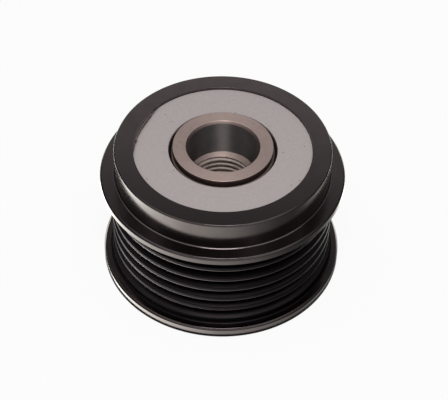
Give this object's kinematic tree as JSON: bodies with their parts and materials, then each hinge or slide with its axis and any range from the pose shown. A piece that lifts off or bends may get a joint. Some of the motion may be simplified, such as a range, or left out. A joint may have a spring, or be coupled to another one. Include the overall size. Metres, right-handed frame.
{
  "type": "alternator pulley",
  "caption": "Overrunning belt pulley: a black grooved steel ring turning on roller bearings and a roller clutch round a threaded hub.",
  "frame": {"origin": "centre of the front flange's underside, on the pulley's axis", "axes": "+Z along the axis towards the alternator side; X and Y across"},
  "size_m": [0.0604, 0.0604, 0.0361],
  "materials": {
    "ring_black_steel": "satin black coating on turned steel",
    "hub_steel": "fine turned steel",
    "shield_steel": "matte grey plated sheet steel",
    "bearing_steel": "ground and polished",
    "spring_steel": "rolled strip",
    "seal_rubber": "moulded matte",
    "cage_polyamide": "moulded"
  },
  "bodies": {
    "hub_assembly": {"hub": "hub_steel", "clutch_ramp_ring": "bearing_steel", "clutch_cage": "cage_polyamide", "clutch_roller_1": "bearing_steel", "clutch_roller_2": "bearing_steel", "clutch_roller_3": "bearing_steel", "clutch_roller_4": "bearing_steel", "clutch_roller_5": "bearing_steel", "clutch_roller_6": "bearing_steel", "clutch_roller_7": "bearing_steel", "clutch_roller_8": "bearing_steel", "clutch_spring_1": "spring_steel", "clutch_spring_2": "spring_steel", "clutch_spring_3": "spring_steel", "clutch_spring_4": "spring_steel", "clutch_spring_5": "spring_steel", "clutch_spring_6": "spring_steel", "clutch_spring_7": "spring_steel", "clutch_spring_8": "spring_steel"},
    "pulley": {"outer_ring": "ring_black_steel", "race_sleeve": "bearing_steel", "rear_shield": "shield_steel", "rear_seal": "seal_rubber", "front_shield": "shield_steel", "front_seal": "seal_rubber"},
    "rear_bearing": {"rear_bearing_cage": "cage_polyamide", "rear_bearing_roller_1": "bearing_steel", "rear_bearing_roller_2": "bearing_steel", "rear_bearing_roller_3": "bearing_steel", "rear_bearing_roller_4": "bearing_steel", "rear_bearing_roller_5": "bearing_steel", "rear_bearing_roller_6": "bearing_steel", "rear_bearing_roller_7": "bearing_steel", "rear_bearing_roller_8": "bearing_steel", "rear_bearing_roller_9": "bearing_steel", "rear_bearing_roller_10": "bearing_steel", "rear_bearing_roller_11": "bearing_steel", "rear_bearing_roller_12": "bearing_steel"},
    "front_bearing": {"front_bearing_cage": "cage_polyamide", "front_bearing_roller_1": "bearing_steel", "front_bearing_roller_2": "bearing_steel", "front_bearing_roller_3": "bearing_steel", "front_bearing_roller_4": "bearing_steel", "front_bearing_roller_5": "bearing_steel", "front_bearing_roller_6": "bearing_steel", "front_bearing_roller_7": "bearing_steel", "front_bearing_roller_8": "bearing_steel", "front_bearing_roller_9": "bearing_steel", "front_bearing_roller_10": "bearing_steel", "front_bearing_roller_11": "bearing_steel", "front_bearing_roller_12": "bearing_steel"}
  },
  "joints": [
    {"name": "pulley_spin", "type": "hinge", "parent": "hub_assembly", "child": "pulley", "pos_m": [0, 0, 0.018], "axis": [0, 0, 1], "continuous": true},
    {"name": "rear_bearing_spin", "type": "hinge", "parent": "hub_assembly", "child": "rear_bearing", "pos_m": [0, 0, 0.0269], "axis": [0, 0, 1], "continuous": true},
    {"name": "front_bearing_spin", "type": "hinge", "parent": "hub_assembly", "child": "front_bearing", "pos_m": [0, 0, 0.0105], "axis": [0, 0, 1], "continuous": true}
  ],
  "couplings": [
    {"joint": "rear_bearing_spin", "follows": "pulley_spin", "ratio": 0.59091},
    {"joint": "front_bearing_spin", "follows": "pulley_spin", "ratio": 0.59091}
  ]
}
